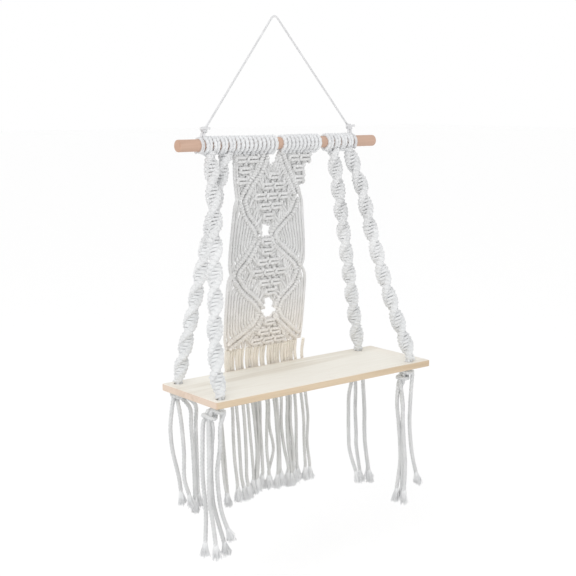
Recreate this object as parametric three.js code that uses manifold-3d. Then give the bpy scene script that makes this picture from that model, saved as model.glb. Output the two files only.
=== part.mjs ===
// A macrame wall shelf. A pine board hangs on four spiral knotted ropes from a dowel, a knotted panel
// hangs behind it, and a thin cord carries the dowel from one nail.
// Millimetres. The origin is where the cord bears on the nail, +X runs to the right along the shelf,
// +Y goes back to the wall and +Z goes up. Depths are given from the dowel, which hangs a little ahead of
// the nail, and everything is moved forward by that much at the end.
import * as THREE from "three";
import { mergeVertices } from "three/addons/utils/BufferGeometryUtils.js";
import Module from "manifold-3d";

const wasm = await Module();
wasm.setup();

// Driving dimensions
const GAP = 0.3;
const CORD = 5;
const DOWEL = { diameter: 17, length: 379, middle: 2.5, z: -188, ahead: 15, chamfer: 1.5, sides: 20 };
const BOARD = { length: 420, depth: 140, thickness: 10, top: -536, back: 19, corner: 3 };
const HOLE = { diameter: 13, fromEdge: 14 };
const WRAP = { sides: 8, groove: 0.55 };
const SINNET = { wide: 23, thick: 14, lobes: 9, stepsPerLobe: 5, ridge: 0.9, neck: 10.2 };
const HANGER = {
  diameter: 3.3, bend: 7, bendSteps: 8, left: -138, right: 135, endZ: -160,
  knotZ: -165, knob: 5.6, turns: 2,
};
const PANEL = { top: -202, lean: 22 / 305 };
const BAR = { wide: 15, flank: 3, crest: 5.6, hitch: 10.5, ridge: 0.3 };
const KNOT = { pitch: 22.5, wide: 21.8, flank: 2.8, crest: 5.4, tall: 14.9 };
const GROUND_THICK = 4.6;
const STRAND = { radius: 2.8, fringe: 2.9, tassel: 3.3 };
const FRINGE = {
  rootZ: -507.6, rootTall: 4.6, rootThick: 5, y: 24.6, layer: 2.6, heights: [-600, -640, -680, -715],
};
const HEAD = { radius: 11, tall: 18.6 };

// Turns of cord on the dowel: where each group starts and ends, and how many turns it has
const GROUPS = {
  hangerLeft: { from: -154.5, to: -147, turns: HANGER.turns },
  frontLeft: { from: -146.3, to: -119.6, turns: 4 },
  backLeft: { from: -119.2, to: -91.6, turns: 4 },
  panelLeft: { from: -91.2, to: -12, turns: 10 },
  panelRight: { from: -2.5, to: 74, turns: 10 },
  backRight: { from: 86, to: 114, turns: 4 },
  frontRight: { from: 114.4, to: 141.2, turns: 4 },
  hangerRight: { from: 141.6, to: 149.1, turns: HANGER.turns },
};

// The double rows of hitches: each follows one middle line, given as x, z
const ROWS = {
  upperLeft1: [[-30, -204], [-41.8, -229.3], [-55.5, -246], [-65.5, -261.4], [-71.2, -271]],
  lowerLeft1: [[-71.2, -275], [-62.1, -296.4], [-46.7, -313.6], [-39.1, -327.4]],
  upperLeft2: [[-39.2, -331], [-49.5, -349], [-61.6, -364.4], [-76.3, -379.5], [-78.7, -387]],
  lowerLeft2: [[-78.6, -391.5], [-64.1, -410.5], [-41, -429.7], [-27.2, -446.5]],
  lastLeft: [[-27.4, -451], [-35.5, -465.4], [-46.3, -474.8], [-80, -493.5]],
  upperRight1: [[-1, -204], [3.7, -216.4], [16.3, -237.4], [28.9, -257.2], [33.5, -268]],
  lowerRight1: [[33.6, -273], [23.4, -294.3], [8.9, -306.9], [-7.3, -322.3], [-10.7, -328.5]],
  upperRight2: [[-10.6, -331], [-2.4, -342.2], [17.7, -359.2], [35.9, -373.2], [43.5, -385]],
  lowerRight2: [[44.6, -390], [36.1, -408.7], [19.5, -424], [10.3, -432.3], [3.3, -446.5]],
  lastRight: [[3.5, -451], [10.1, -463.3], [22.3, -474.2], [44, -492.5]],
};

// The rows of square knots: height, middle of the row and number of knots
const KNOT_ROWS = [
  { z: -211, x: -66, count: 2 },
  { z: -227, x: -68, count: 1 },
  { z: -243, x: -73, count: 1 },
  { z: -211, x: 38.5, count: 2 },
  { z: -227, x: 38, count: 1 },
  { z: -243, x: 38.5, count: 1 },
  { z: -237, x: -13, count: 1 },
  { z: -252.5, x: -14, count: 2 },
  { z: -268, x: -15.5, count: 3 },
  { z: -283.5, x: -17.5, count: 2 },
  { z: -299, x: -21, count: 1 },
  { z: -338, x: -22, count: 1 },
  { z: -354, x: -20, count: 1 },
  { z: -370, x: -17.5, count: 2 },
  { z: -386.5, x: -15, count: 3 },
  { z: -403, x: -12, count: 2 },
  { z: -418, x: -10.5, count: 1 },
  { z: -467, x: -9.5, count: 1 },
  { z: -482, x: -10, count: 2 },
  { z: -496, x: -12, count: 3 },
];

// The close-knotted grounds behind the square knots, each an outline given as x, z
const GROUNDS = [
  [[-90, -198.3], [-14, -198.3], [-31, -205], [-42, -229], [-70, -272], [-80, -268]],
  [[-1, -198.3], [72, -198.3], [56, -219], [46, -256], [35, -270], [16, -237], [0, -205]],
  [
    [-31, -206], [-20, -219], [-10, -219], [0, -206], [16, -237], [33, -270], [9, -307],
    [-11, -327], [-17, -306], [-29, -306], [-38, -326], [-62, -296], [-70, -273], [-55, -246],
  ],
  [
    [-36, -333], [-14, -333], [18, -359], [43, -387], [20, -424], [3, -445],
    [-3, -426], [-20, -426], [-27, -446], [-41, -430], [-78, -390], [-62, -364],
  ],
  [[-18, -463], [-6, -463], [10, -463], [50, -497], [50, -503], [-87, -503], [-87, -497], [-46, -475]],
];

// The open cords at the panel's sides: the rows that they leave and join, the x at which the outer one
// hangs above and below, the way in from there, and how many there are
const SIDES = [
  { leaves: "lowerLeft1", joins: "upperLeft2", above: -87, below: -92, inward: 1, pitch: 6.9, count: 7 },
  { leaves: "lowerRight1", joins: "upperRight2", above: 49, below: 58, inward: -1, pitch: 6.9, count: 8 },
  { leaves: "lowerLeft2", joins: "lastLeft", above: -93, below: -94, inward: 1, pitch: 7.6, count: 8 },
  { leaves: "lowerRight2", joins: "lastRight", above: 59.5, below: 57, inward: -1, pitch: 6.9, count: 7 },
];

// Each corner's rope and tassel: where the rope starts under the dowel, its hole, the way that its flat side
// faces at the start, in degrees from the front, and the four ends. Each
// end is given from the hole, as its way back, x at each of the tassel's heights, and the tip as x, z.
const TASSEL_HEIGHTS = [-575, -605, -640, -680, -705];
const CORNERS = [
  {
    name: "front_left", group: "frontLeft", start: -133, hole: -194, edge: "front", spin: -80,
    ends: [
      { back: 5, sways: [-26.2, -27.8, -28.2, -24.9, -23.4], tip: [-25.8, -760.5] },
      { back: -8, sways: [-22.2, -23.4, -23.5, -23.2, -18.8], tip: [-12.3, -763.3] },
      { back: 6, sways: [-7.6, -9.3, -10.6, -8.7, -3.8], tip: [15, -768.1] },
      { back: -2, sways: [-1.8, -2.7, -7.9, -4.9, 0.2], tip: [20, -745] },
    ],
  },
  {
    name: "back_left", group: "backLeft", start: -105, hole: -190, edge: "back", spin: -51,
    ends: [
      { back: 9, sways: [-6, -9.5, -6.4, 3.3, 7.5], tip: [6.4, -720.7] },
      { back: -9, sways: [-4.6, -0.7, 2, 2, 9.2], tip: [14.4, -725.6] },
      { back: -3, sways: [17.4, 19.5, 22.1, 24, 24.6], tip: [25.3, -738] },
      { back: 4, sways: [32.3, 32.5, 33.2, 34.3, 34.6], tip: [38.7, -734] },
    ],
  },
  {
    name: "front_right", group: "frontRight", start: 136, hole: 176, edge: "front", spin: -42,
    ends: [
      { back: 8, sways: [-10.1, -16.8, -12.4, -8.3, -8], tip: [-17.8, -766.3] },
      { back: -8, sways: [-15, -20, -18, -14, -12], tip: [-14.2, -765.9] },
      { back: -3, sways: [4, 2, 1.4, 6.1, 12], tip: [23.5, -741.7] },
      { back: 4, sways: [-3, -7.6, -8.1, -6.8, -7], tip: [-6, -761.7] },
    ],
  },
  {
    name: "back_right", group: "backRight", start: 103, hole: 169, edge: "back", spin: -78,
    ends: [
      { back: -8, sways: [-19, -27, -28, -27, -24], tip: [-4, -759.8] },
      { back: 8, sways: [2, 2.1, 1.7, 4.1, 5], tip: [17, -768.8] },
      { back: -2, sways: [8, 11.2, 14, 14.8, 17], tip: [28.8, -768.2] },
      { back: 5, sways: [13.5, 16.7, 19.5, 20.3, 22.5], tip: [33, -766] },
    ],
  },
];

// The panel's loose ends: x at the root, x at each of the fringe's heights, and the tip as x, z
const LOOSE_ENDS = [
  { root: -93, sways: [-99, -98.8, -97.3, -94], tip: [-87, -752] },
  { root: -91.8, sways: [-97.5, -94.6, -91, -88], tip: [-85, -754] },
  { root: -90.5, sways: [-77.7, -76.7, -74.5, -70.1], tip: [-67.1, -750.1] },
  { root: -80.1, sways: [-67.8, -64.2, -61.9, -59.1], tip: [-51.3, -752.1] },
  { root: -69.6, sways: [-56.7, -53.4, -51.4, -50.7], tip: [-44.3, -750.3] },
  { root: -58, sways: [-45.7, -42, -38.1, -35.1], tip: [-37.2, -743.5] },
  { root: -50.6, sways: [-37.9, -32.9, -29.7, -30.5], tip: [-28.1, -742.2] },
  { root: -45.8, sways: [-33.5, -30, -28, -30], tip: [-32, -745] },
  { root: -41.2, sways: [-29.3, -26.8, -26.1, -28.6], tip: [-27.1, -740.7] },
  { root: -34, sways: [-21.9, -21.2, -18.4, -16.6], tip: [-21.4, -740.3] },
  { root: -21.9, sways: [-9.5, -10, -9.8, -5.5], tip: [-9.8, -741.2] },
  { root: -16.3, sways: [-4.2, -2.8, 5.4, -4], tip: [-0.5, -739.9] },
  { root: -8, sways: [5.3, 10.3, 14.5, 13.2], tip: [8.8, -743.6] },
  { root: -4, sways: [7.8, 11.5, 15, 15], tip: [14, -746] },
  { root: -1, sways: [10.3, 13.1, 15.9, 17], tip: [21.3, -741.2] },
  { root: 9.3, sways: [21.7, 21.5, 27, 35.7], tip: [33.9, -746.6] },
  { root: 19.5, sways: [31.9, 31.4, 34, 40.7], tip: [41.3, -747.3] },
  { root: 23.6, sways: [35, 35, 39, 43], tip: [45, -748] },
  { root: 26.4, sways: [38.4, 38.5, 43.8, 44.8], tip: [48.7, -743.8] },
  { root: 37.7, sways: [50, 52.8, 53.1, 54.5], tip: [55.8, -743.6] },
  { root: 49, sways: [61.6, 66.7, 67.7, 70.4], tip: [70, -743.2] },
  { root: 60, sways: [73, 78.1, 76.4, 81.3], tip: [84.3, -744.5] },
];

// Colours, as seen
const COLOURS = { cotton: "#eeece8", warmCotton: "#eae4da", pine: "#efe3cd", rod: "#d9b79c" };
const finish = (color, roughness) => new THREE.MeshStandardMaterial({ color, roughness, metalness: 0 });
const cotton = finish(COLOURS.cotton, 0.95);
const warmCotton = finish(COLOURS.warmCotton, 0.95);
const pine = finish(COLOURS.pine, 0.6);
const rod = finish(COLOURS.rod, 0.7);

const FRONT = new THREE.Vector3(0, -1, 0);
const DOWN = new THREE.Vector3(0, 0, -1);

// Closed geometry as a solid that can be joined and cut
function solid(geometry) {
  const bare = geometry.clone();
  bare.deleteAttribute("normal");
  bare.deleteAttribute("uv");
  const merged = mergeVertices(bare, 1e-4);
  const mesh = new wasm.Mesh({
    numProp: 3,
    vertProperties: new Float32Array(merged.getAttribute("position").array),
    triVerts: new Uint32Array(merged.index.array),
  });
  return new wasm.Manifold(mesh);
}

// Several closed geometries joined into one
function fuse(pieces) {
  const whole = pieces.map(solid).reduce((sum, piece) => sum.add(piece));
  const mesh = whole.getMesh();
  const geometry = new THREE.BufferGeometry();
  geometry.setAttribute("position", new THREE.BufferAttribute(mesh.vertProperties, 3));
  geometry.setIndex(new THREE.BufferAttribute(mesh.triVerts, 1));
  geometry.computeVertexNormals();
  return geometry;
}

// A regular outline round the origin
function polygon(radius, sides, turn = 0) {
  const corners = Array.from({ length: sides }, (_, k) => {
    const angle = turn + (2 * Math.PI * k) / sides;
    return new THREE.Vector2(radius * Math.cos(angle), radius * Math.sin(angle));
  });
  return new THREE.Shape(corners);
}

// A section carried through stations. Each station has a centre, the directions of the section's width and
// front, and the scale of both. Where a section has a flank, only what stands in front of it is scaled.
function sweep(section, stations, flank = 0) {
  const steps = stations.length - 1;
  const geometry = new THREE.ExtrudeGeometry(section, { depth: 1, steps, bevelEnabled: false });
  const places = geometry.getAttribute("position");
  const point = new THREE.Vector3();
  for (let i = 0; i < places.count; i++) {
    point.fromBufferAttribute(places, i);
    const { centre, across, front, wide, thick } = stations[Math.round(point.z * steps)];
    const fixed = Math.min(point.y, flank);
    const height = flank ? fixed + (point.y - fixed) * thick : point.y * thick;
    point.copy(centre).addScaledVector(across, places.getX(i) * wide).addScaledVector(front, height);
    places.setXYZ(i, point.x, point.y, point.z);
  }
  geometry.computeVertexNormals();
  return geometry;
}

// The width and front directions at right angles to a line of travel, turned round it by an angle
function frameOf(travel, turn = 0) {
  const along = travel.clone().normalize();
  const front = FRONT.clone().addScaledVector(along, -FRONT.dot(along)).normalize();
  front.applyAxisAngle(along, turn);
  return { across: front.clone().cross(along), front };
}

// A cord with few sides along a smooth curve through points
function strand(points, radius, sides, steps) {
  const places = points.map((p) => new THREE.Vector3(...p));
  const curve = new THREE.CatmullRomCurve3(places, false, "centripetal");
  const section = polygon(radius, sides, Math.PI / 2);
  return new THREE.ExtrudeGeometry(section, { steps, extrudePath: curve, bevelEnabled: false });
}

// Turns of cord round the dowel, raised at each turn
function wraps({ from, to, turns }, cord) {
  const inner = (DOWEL.diameter / 2 + GAP) / Math.cos(Math.PI / WRAP.sides);
  const crest = DOWEL.diameter / 2 + GAP + cord;
  const profile = [new THREE.Vector2(inner, to), new THREE.Vector2(inner, from)];
  for (let k = 0; k <= turns * 2; k++) {
    const radius = k % 2 ? crest : inner + (crest - inner) * WRAP.groove;
    profile.push(new THREE.Vector2(radius, from + ((to - from) * k) / (turns * 2)));
  }
  profile.push(profile[0].clone());
  const ring = new THREE.LatheGeometry(profile, WRAP.sides);
  ring.rotateZ(-Math.PI / 2);
  ring.translate(0, 0, DOWEL.z);
  return ring;
}

const middleOf = ({ from, to }) => (from + to) / 2;

// The dowel, turned with eased ends
function dowel() {
  const half = DOWEL.length / 2;
  const radius = DOWEL.diameter / 2;
  const profile = [
    new THREE.Vector2(0, -half),
    new THREE.Vector2(radius - DOWEL.chamfer, -half),
    new THREE.Vector2(radius, -half + DOWEL.chamfer),
    new THREE.Vector2(radius, half - DOWEL.chamfer),
    new THREE.Vector2(radius - DOWEL.chamfer, half),
    new THREE.Vector2(0, half),
  ];
  const geometry = new THREE.LatheGeometry(profile, DOWEL.sides);
  geometry.rotateZ(-Math.PI / 2);
  geometry.translate(DOWEL.middle, 0, DOWEL.z);
  return geometry;
}

// The middle of a corner's hole in the board
function holeOf({ hole, edge }) {
  const inset = edge === "back" ? HOLE.fromEdge : BOARD.depth - HOLE.fromEdge;
  return { x: hole, y: BOARD.back - inset };
}

// The board, with rounded upright edges and its four holes
function board() {
  const right = BOARD.length / 2;
  const front = BOARD.back - BOARD.depth;
  const r = BOARD.corner;
  const outline = new THREE.Shape();
  outline.moveTo(-right + r, front);
  outline.lineTo(right - r, front);
  outline.absarc(right - r, front + r, r, -Math.PI / 2, 0);
  outline.lineTo(right, BOARD.back - r);
  outline.absarc(right - r, BOARD.back - r, r, 0, Math.PI / 2);
  outline.lineTo(-right + r, BOARD.back);
  outline.absarc(-right + r, BOARD.back - r, r, Math.PI / 2, Math.PI);
  outline.lineTo(-right, front + r);
  outline.absarc(-right + r, front + r, r, Math.PI, 1.5 * Math.PI);
  for (const corner of CORNERS) {
    const { x, y } = holeOf(corner);
    outline.holes.push(new THREE.Path().absarc(x, y, HOLE.diameter / 2, 0, 2 * Math.PI, true));
  }
  const geometry = new THREE.ExtrudeGeometry(outline, {
    depth: BOARD.thickness, bevelEnabled: false, curveSegments: 4,
  });
  geometry.translate(0, 0, BOARD.top - BOARD.thickness);
  return geometry;
}

// A corner's rope: its turns on the dowel, the spiral of half knots and the neck in the hole
function rope(corner) {
  const hole = holeOf(corner);
  const start = new THREE.Vector3(corner.start, -1, DOWEL.z - DOWEL.diameter / 2 - 2.4);
  const end = new THREE.Vector3(hole.x, hole.y, BOARD.top + 6);
  const travel = end.clone().sub(start);
  const steps = SINNET.lobes * SINNET.stepsPerLobe;
  const stations = [];
  for (let k = 0; k <= steps; k++) {
    const turn = THREE.MathUtils.degToRad(corner.spin) + (Math.PI * k) / SINNET.stepsPerLobe;
    const ends = Math.min(1, 0.5 + 0.25 * Math.min(k, steps - k));
    const ridge = (k % 2 ? 1 : SINNET.ridge) * ends;
    stations.push({
      centre: start.clone().addScaledVector(travel, k / steps),
      ...frameOf(travel, turn),
      wide: (SINNET.wide / 2) * ridge,
      thick: (SINNET.thick / 2) * (0.5 + ends / 2),
    });
  }
  const last = stations.length - 1;
  const turn = THREE.MathUtils.degToRad(corner.spin) + (Math.PI * steps) / SINNET.stepsPerLobe;
  stations[last].wide = SINNET.neck / 2;
  stations[last].thick = SINNET.neck / 2;
  for (const z of [BOARD.top + 3.4, BOARD.top - BOARD.thickness + GAP]) {
    stations.push({
      centre: new THREE.Vector3(hole.x, hole.y, z),
      ...frameOf(DOWN, turn),
      wide: SINNET.neck / 2,
      thick: SINNET.neck / 2,
    });
  }
  const section = new THREE.Shape([
    new THREE.Vector2(-1, 0), new THREE.Vector2(-0.55, -1), new THREE.Vector2(0.55, -1),
    new THREE.Vector2(1, 0), new THREE.Vector2(0.55, 1), new THREE.Vector2(-0.55, 1),
  ]);
  return fuse([wraps(GROUPS[corner.group], CORD), sweep(section, stations)]);
}

// A tassel: the stopper knot under the hole and its loose cord ends
function tassel(corner) {
  const hole = holeOf(corner);
  const z = BOARD.top - BOARD.thickness - GAP - HEAD.tall / 2;
  const head = new THREE.SphereGeometry(1, 10, 6);
  head.rotateX(Math.PI / 2);
  head.scale(HEAD.radius, HEAD.radius, HEAD.tall / 2);
  head.translate(hole.x, hole.y, z);
  const ends = corner.ends.map(({ back, sways, tip }) => {
    const points = [
      [hole.x + sways[0] * 0.3, hole.y + back * 0.6, z],
      ...sways.map((x, level) => [hole.x + x, hole.y + back, TASSEL_HEIGHTS[level]]),
      [hole.x + tip[0], hole.y + back, tip[1]],
    ];
    return strand(points, STRAND.tassel, 3, 7);
  });
  return fuse([head, ...ends]);
}

// The smooth line through places given as x, z
const lineThrough = (places) =>
  new THREE.CatmullRomCurve3(places.map(([x, z]) => new THREE.Vector3(x, 0, z)), false, "centripetal");

// The panel leans back from the dowel, so that it passes behind the board
function leanBack(geometry) {
  const places = geometry.getAttribute("position");
  for (let i = 0; i < places.count; i++) {
    places.setY(i, places.getY(i) + Math.max(0, PANEL.top - places.getZ(i)) * PANEL.lean);
  }
  return geometry;
}

// Two rows of hitches side by side, with the groove between them on the middle line
function hitchRows(row) {
  const line = lineThrough(row);
  const steps = 2 * Math.round(line.getLength() / BAR.hitch);
  const half = BAR.wide / 2;
  const section = new THREE.Shape([
    new THREE.Vector2(-half, -BAR.flank),
    new THREE.Vector2(half, -BAR.flank),
    new THREE.Vector2(half, BAR.flank),
    new THREE.Vector2(half * 0.55, BAR.crest),
    new THREE.Vector2(0, BAR.flank),
    new THREE.Vector2(-half * 0.55, BAR.crest),
    new THREE.Vector2(-half, BAR.flank),
  ]);
  const stations = [];
  for (let k = 0; k <= steps; k++) {
    stations.push({
      centre: line.getPointAt(k / steps),
      ...frameOf(line.getTangentAt(k / steps)),
      wide: 1,
      thick: k % 2 ? 1 : BAR.ridge,
    });
  }
  return sweep(section, stations, BAR.flank);
}

// A square knot, as two half knots one above the other
function squareKnot(x, z) {
  const half = KNOT.wide / 2;
  const section = new THREE.Shape([
    new THREE.Vector2(-half, -KNOT.flank),
    new THREE.Vector2(half, -KNOT.flank),
    new THREE.Vector2(half, KNOT.crest),
    new THREE.Vector2(-half, KNOT.crest),
  ]);
  const rise = [0.2, 1, 0.55, 1, 0.2];
  const stations = rise.map((thick, k) => ({
    centre: new THREE.Vector3(x, 0, z + (0.5 - k / (rise.length - 1)) * KNOT.tall),
    ...frameOf(DOWN),
    wide: 1,
    thick,
  }));
  return sweep(section, stations, KNOT.flank);
}

// A straight run of cord in the panel
function run([x0, z0], [x1, z1]) {
  const travel = new THREE.Vector3(x1 - x0, 0, z1 - z0);
  const stations = [[x0, z0], [x1, z1]].map(([x, z]) => ({
    centre: new THREE.Vector3(x, 0, z),
    ...frameOf(travel),
    wide: 1,
    thick: 1,
  }));
  return sweep(polygon(CORD * 0.56, 4, Math.PI / 4), stations);
}

// A ground: an outline in the panel's plane with the thickness of one cord
function ground(outline) {
  const shape = new THREE.Shape(outline.map(([x, z]) => new THREE.Vector2(x, z)));
  const geometry = new THREE.ExtrudeGeometry(shape, { depth: GROUND_THICK, bevelEnabled: false });
  geometry.rotateX(Math.PI / 2);
  geometry.translate(0, GROUND_THICK / 2, 0);
  return geometry;
}

// The open cords at one side, which arch out from one row of hitches and in to the next
function sideStrands({ leaves, joins, above, below, inward, pitch, count }) {
  return Array.from({ length: count }, (_, k) => {
    const share = ((k + 0.3) / count) * 0.93;
    const start = lineThrough(ROWS[leaves]).getPointAt(share);
    const end = lineThrough(ROWS[joins]).getPointAt(1 - share);
    const fall = (start.z - end.z) * 0.2;
    const points = [
      [start.x, 0, start.z],
      [above + inward * pitch * k, 0, start.z - fall],
      [below + inward * pitch * k, 0, end.z + fall],
      [end.x, 0, end.z],
    ];
    return strand(points, STRAND.radius, 4, 4);
  });
}

// The whole knotted panel
function panel() {
  const knots = KNOT_ROWS.flatMap(({ z, x, count }) =>
    Array.from({ length: count }, (_, k) => squareKnot(x + (k - (count - 1) / 2) * KNOT.pitch, z)),
  );
  const slopingIn = [
    run([0, PANEL.top + 1], [-9, -232]),
    run([5, PANEL.top + 1], [-4, -232]),
  ];
  const hanging = [
    ...Object.values(ROWS).map(hitchRows),
    ...knots,
    ...slopingIn,
    ...GROUNDS.map(ground),
    ...SIDES.flatMap(sideStrands),
  ];
  return fuse([wraps(GROUPS.panelLeft, CORD), wraps(GROUPS.panelRight, CORD), ...hanging.map(leanBack)]);
}

// The panel's loose ends, in two close layers, fused into a narrow strip at their roots
function fringe() {
  const rootY = (PANEL.top - FRINGE.rootZ) * PANEL.lean;
  const from = LOOSE_ENDS[0].root - CORD;
  const to = LOOSE_ENDS[LOOSE_ENDS.length - 1].root + CORD;
  const strip = new THREE.BoxGeometry(to - from, FRINGE.rootThick, FRINGE.rootTall);
  strip.translate((from + to) / 2, rootY, FRINGE.rootZ);
  const strands = LOOSE_ENDS.map(({ root, sways, tip }, k) => {
    const y = FRINGE.y + (k % 2 ? FRINGE.layer : 0);
    const points = [
      [root, rootY, FRINGE.rootZ],
      [root + 1, y, -528],
      [(root + sways[0]) / 2, y, -560],
      ...sways.map((x, level) => [x, y, FRINGE.heights[level]]),
      [tip[0], y, tip[1]],
    ];
    return strand(points, STRAND.fringe, 3, 7);
  });
  return fuse([strip, ...strands]);
}

// The thin cord: a straight run up from each knot and the bend over the nail, which bears on the origin.
// It is laid out upright and then leant back to the nail.
function hangerCord() {
  const lean = Math.atan2(DOWEL.ahead, -HANGER.endZ);
  const endS = HANGER.endZ / Math.cos(lean);
  const middle = new THREE.Vector3(0, 0, HANGER.diameter / 2 - HANGER.bend);
  const leans = [HANGER.left, HANGER.right].map((x) => {
    const reach = Math.hypot(x, endS - middle.z);
    return Math.atan2(Math.abs(x), endS - middle.z) - Math.acos(HANGER.bend / reach);
  });
  const bend = Array.from({ length: HANGER.bendSteps + 1 }, (_, k) => {
    const angle = -leans[0] + ((leans[0] + leans[1]) * k) / HANGER.bendSteps;
    const outward = new THREE.Vector3(Math.sin(angle), 0, Math.cos(angle));
    return { centre: outward.clone().multiplyScalar(HANGER.bend).add(middle), angle };
  });
  const places = [
    { centre: new THREE.Vector3(HANGER.left, 0, endS), angle: -leans[0] },
    ...bend,
    { centre: new THREE.Vector3(HANGER.right, 0, endS), angle: leans[1] },
  ];
  const stations = places.map(({ centre, angle }) => ({
    centre,
    ...frameOf(new THREE.Vector3(Math.cos(angle), 0, -Math.sin(angle))),
    wide: 1,
    thick: 1,
  }));
  const cord = sweep(polygon(HANGER.diameter / 2, 8, Math.PI / 8), stations);
  cord.rotateX(-lean);
  cord.translate(0, DOWEL.ahead, 0);
  return cord;
}

// The hanging cord's turns round the dowel, its knot, drawn in by the pull, and the two cut tails
function hangerKnot(group, knotX) {
  const knob = new THREE.SphereGeometry(HANGER.knob, 8, 6);
  knob.translate(knotX, 0, HANGER.knotZ);
  const foot = [middleOf(group), 0, DOWEL.z + 11];
  const tieUp = strand([foot, [knotX, 0, HANGER.knotZ]], HANGER.diameter * 0.9, 6, 1);
  const tails = [-1, 1].map((side) => {
    const points = [
      [knotX, -1.5, HANGER.knotZ],
      [knotX + side * 6, -3, HANGER.knotZ + 1],
      [knotX + side * 11, -3.5, HANGER.knotZ + 2],
    ];
    return strand(points, HANGER.diameter / 2, 4, 3);
  });
  return fuse([wraps(group, HANGER.diameter), tieUp, knob, ...tails]);
}

const group = new THREE.Group();
function add(name, geometry, material) {
  geometry.translate(0, -DOWEL.ahead, 0);
  const mesh = new THREE.Mesh(geometry, material);
  mesh.name = name;
  group.add(mesh);
}
add("dowel", dowel(), rod);
add("shelf_board", board(), pine);
add("hanger_cord", hangerCord(), cotton);
add("hanger_knot_left", hangerKnot(GROUPS.hangerLeft, -142.3), cotton);
add("hanger_knot_right", hangerKnot(GROUPS.hangerRight, 139.4), cotton);
for (const corner of CORNERS) {
  add(`rope_${corner.name}`, rope(corner), cotton);
  add(`tassel_${corner.name}`, tassel(corner), cotton);
}
add("panel", panel(), cotton);
add("panel_fringe", fringe(), warmCotton);

export default group;
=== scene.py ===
import math
import random

import bmesh
import bpy
from mathutils import Matrix, Vector


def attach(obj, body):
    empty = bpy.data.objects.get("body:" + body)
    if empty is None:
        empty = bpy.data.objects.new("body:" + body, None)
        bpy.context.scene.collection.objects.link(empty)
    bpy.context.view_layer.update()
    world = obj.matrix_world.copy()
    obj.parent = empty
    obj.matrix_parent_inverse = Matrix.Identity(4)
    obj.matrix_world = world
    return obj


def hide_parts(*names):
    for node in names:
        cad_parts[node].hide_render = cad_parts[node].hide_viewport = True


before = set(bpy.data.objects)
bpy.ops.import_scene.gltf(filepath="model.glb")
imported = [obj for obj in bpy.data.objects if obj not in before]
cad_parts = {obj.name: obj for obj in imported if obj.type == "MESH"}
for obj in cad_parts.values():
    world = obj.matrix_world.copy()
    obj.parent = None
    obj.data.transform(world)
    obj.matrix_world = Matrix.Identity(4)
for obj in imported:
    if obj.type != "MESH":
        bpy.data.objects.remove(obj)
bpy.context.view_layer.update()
scene = bpy.context.scene
random.seed(11)
MM = 0.001

# Camera, at the photo's angle
eye = Vector((-1.0840, -1.3753, -0.1249))
turn, dip = math.radians(38.91), math.radians(9.385)
gaze = Vector((math.sin(turn) * math.cos(dip), math.cos(turn) * math.cos(dip), -math.sin(dip)))
camera = bpy.data.objects.new("camera", bpy.data.cameras.new("camera"))
camera.data.lens = 70.67
camera.data.sensor_width = 36
camera.location = eye
camera.rotation_euler = gaze.to_track_quat("-Z", "Y").to_euler()
scene.collection.objects.link(camera)
scene.camera = camera
scene.view_settings.view_transform = "Standard"

# The shelf's measures in millimetres, close to the CAD's, with the dowel's middle at a depth of 0; the whole is
# brought AHEAD of the nail when its pieces are laid
AHEAD = 15
DOWEL = {"radius": 8.9, "length": 380, "middle": 1.2, "z": -188}
BOARD = {"length": 420, "depth": 140, "thickness": 10, "top": -536, "back": 19, "corner": 3}
HOLE = {"radius": 6.5, "from_edge": 14}
LOBES = 9
HALF_KNOTS = 7
# Half the thickness of the cords in each kind of piece, a little more where knots have to close up
RADIUS = {
    "worker": 2.95, "rope_edge": 3.5, "rope_loop": 3.35, "panel_loop": 3.7, "hitch": 2.95, "square_knot": 3.0,
    "flank": 2.6, "open_cord": 2.7, "ground": 2.6, "fringe": 2.8, "fringe_brush": 2.7, "tassel": 3.4,
    "tassel_brush": 2.9, "fibre": 0.55, "hanger_knot": 1.9,
}
# Where the mounting loops of each rope and of each half of the panel start and end on the dowel
GROUPS = {
    "front_left": (-146.3, -119.6), "back_left": (-119.2, -91.6),
    "panel_left": (-91.2, -12), "panel_right": (-2.5, 74),
    "back_right": (86, 114), "front_right": (114.4, 141.2),
}
HANGER = {"radius": 1.65, "bend": 7, "left": -136.8, "right": 134, "end_z": -160, "knot_z": -165}
# Side, place of the turns on the dowel and place of the knot above them
HANGER_KNOTS = (("left", -150.75, -142.3), ("right", 145.35, 139.4))
# The distance of a loop's middle line from the dowel's
ROUND = {"rope": 10.5, "panel": 10, "hanger": 10.2, "bar": 12.6}
ROPE_TOP = -198.9
# The cords that round off a rope's edges: how far aside, how unevenly, and how far to each face
RAIL = {"aside": 6.8, "uneven": 0.7, "ahead": 2.6}
PANEL_TOP = -202
PANEL_TURNS = 10
# How far the panel leans back for each millimetre down
LEAN = 22 / 305
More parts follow.
